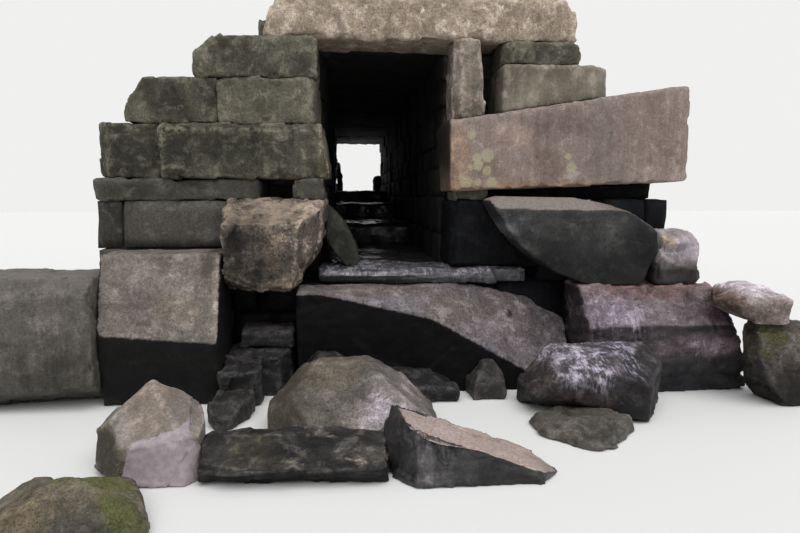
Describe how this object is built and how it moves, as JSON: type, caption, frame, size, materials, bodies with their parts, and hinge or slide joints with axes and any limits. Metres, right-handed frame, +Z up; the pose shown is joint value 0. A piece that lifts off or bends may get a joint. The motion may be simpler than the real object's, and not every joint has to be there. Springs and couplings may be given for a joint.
{
  "type": "dry-laid stone box culvert headwall",
  "caption": "Dry-laid stone headwall with a square waterway under a slab lintel, a stone-roofed box barrel behind it, a broken sill and an apron of boulders.",
  "frame": {"origin": "on the underside of the sill, below the middle of the waterway and in the plane of the headwall's face, at the level of the pool", "axes": "+X to the right along the headwall, +Y into the bank along the barrel, +Z up"},
  "size_m": [6.06, 12.94, 3.16],
  "materials": {
    "dark_stone": "rough, dark and damp",
    "grey_stone": "split face, weathered grey with dark run marks and a damp foot",
    "lichened_stone": "split face, weathered brown grey with pale lichen spots",
    "pale_stone": "freshly broken, light purple grey",
    "pinkish_stone": "split face, dry, pinkish brown",
    "rough_stone": "rough broken face, warm brown with paler chips",
    "wet_stone": "worn by water, dark brown and glossy wet"
  },
  "bodies": {
    "root": {"bank_cap_stone": "rough_stone", "bank_lower_stone": "rough_stone", "bank_upper_stone": "pale_stone", "barrel_end_left_stone": "dark_stone", "barrel_end_right_stone": "dark_stone", "barrel_left_wall": "dark_stone", "barrel_right_wall": "dark_stone", "bed_step_1": "dark_stone", "bed_step_2": "dark_stone", "bed_step_3": "dark_stone", "bed_step_4": "dark_stone", "curved_stone": "dark_stone", "fall_boulder": "wet_stone", "flat_ledge": "wet_stone", "footing_cap": "dark_stone", "footing_stone": "dark_stone", "leaning_slab": "dark_stone", "ledge": "wet_stone", "left_back_block": "lichened_stone", "left_bearing_block": "rough_stone", "left_course_block": "lichened_stone", "left_end_block": "lichened_stone", "left_footing": "dark_stone", "left_packing": "dark_stone", "left_packing_stone": "dark_stone", "left_pinner": "lichened_stone", "left_top_block": "lichened_stone", "left_upper_block": "lichened_stone", "left_wall_block": "dark_stone", "lintel": "pinkish_stone", "low_boulder": "wet_stone", "moss_boulder": "rough_stone", "mouth_bed": "dark_stone", "pale_boulder": "pale_stone", "right_course_block": "lichened_stone", "right_footing": "dark_stone", "right_jamb_block": "dark_stone", "right_packing": "dark_stone", "right_packing_stone": "dark_stone", "right_pinner": "lichened_stone", "right_sill_stone": "wet_stone", "right_upper_block": "grey_stone", "right_upright": "lichened_stone", "right_wall_block": "dark_stone", "right_wedge": "dark_stone", "roof_slabs": "dark_stone", "round_boulder": "wet_stone", "sill": "wet_stone", "toe_boulder": "dark_stone", "toe_slab": "dark_stone", "toe_stone": "dark_stone", "wedge_boulder": "wet_stone", "wing_block": "grey_stone", "wing_end_block": "grey_stone"}
  },
  "joints": []
}
